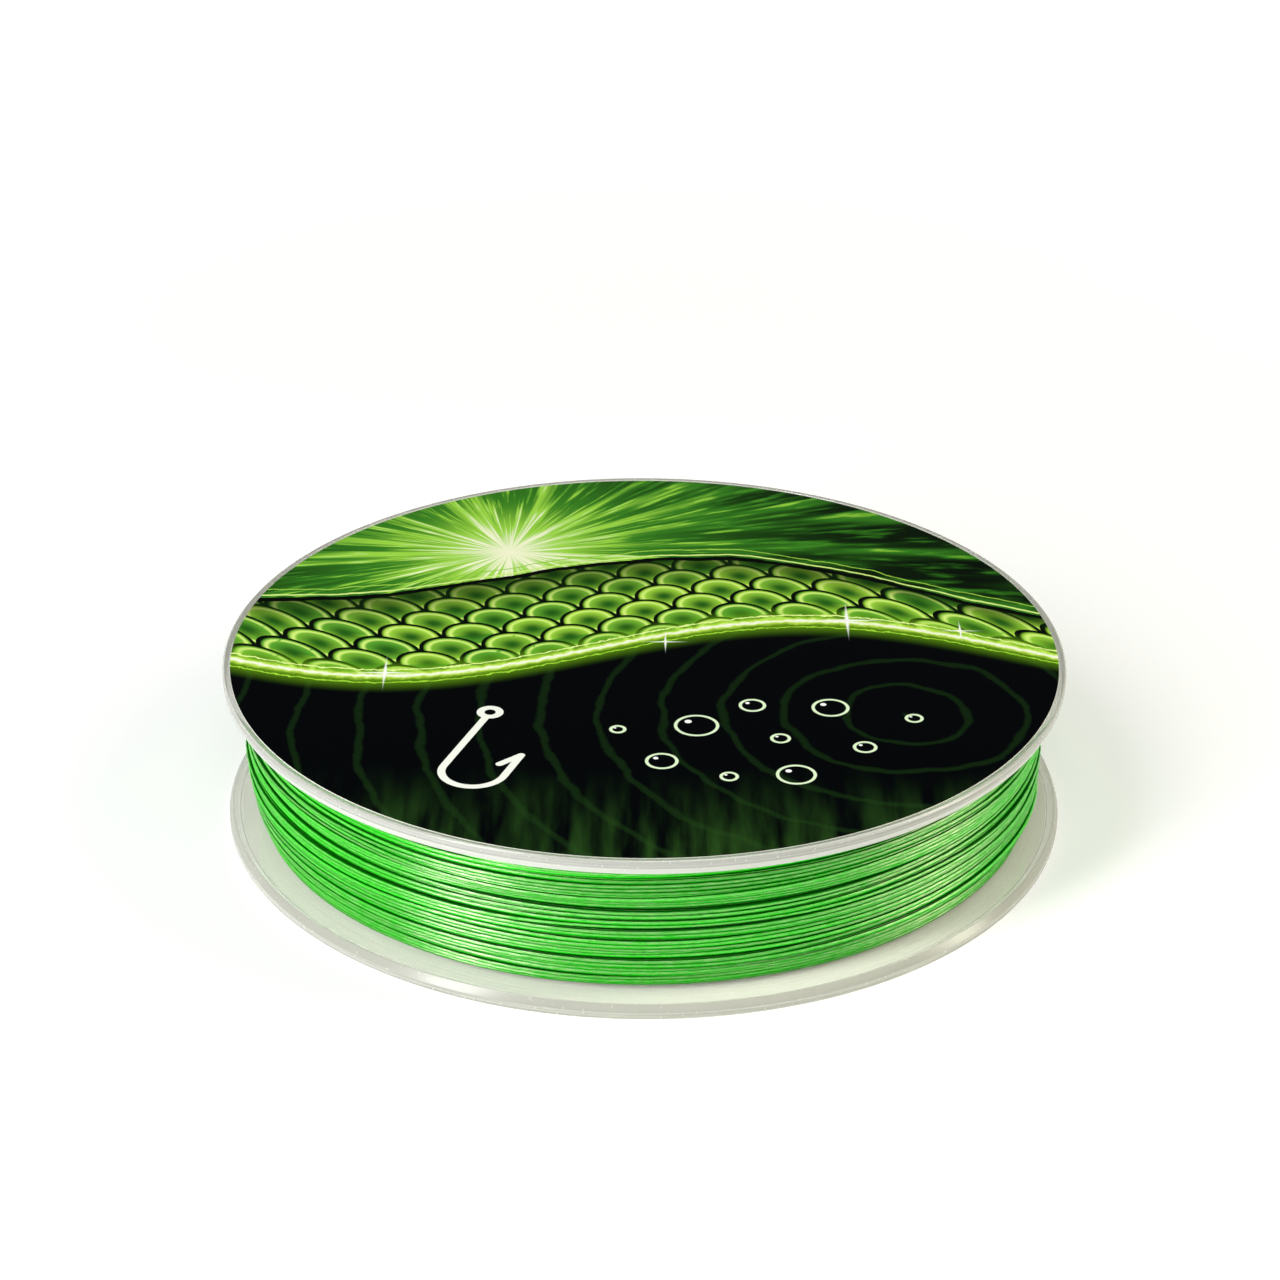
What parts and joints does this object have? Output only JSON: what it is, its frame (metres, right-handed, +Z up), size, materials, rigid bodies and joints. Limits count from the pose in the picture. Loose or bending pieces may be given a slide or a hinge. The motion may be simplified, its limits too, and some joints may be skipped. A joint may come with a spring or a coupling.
{
  "type": "fishing line spool",
  "caption": "Shallow round spool of braided fishing line: clear flanged halves snapped together at a hollow hub, printed labels on both faces.",
  "frame": {"origin": "centre of the circle on which the lower rim stands", "axes": "+Z up along the spindle axis, from the lower flange to the labelled upper flange; +Y to the back, where the line ends"},
  "size_m": [0.1, 0.1, 0.02],
  "materials": {
    "clear_plastic": "crystal clear moulded polystyrene, glossy, very slightly warm",
    "top_label_print": "full-colour print on satin film, black with green waves and scales",
    "bottom_label_print": "full-colour print on satin film with a white back",
    "green_braid": "braided polyethylene line, bright green, silky",
    "clear_tape": "clear adhesive tape, slightly matt"
  },
  "bodies": {
    "root": {"lower_half": "clear_plastic", "upper_half": "clear_plastic", "top_label": "top_label_print", "bottom_label": "bottom_label_print", "line_inner_layers": "green_braid", "line_outer_turns": "green_braid", "end_tape": "clear_tape", "anchor_tape": "clear_tape"}
  },
  "joints": []
}
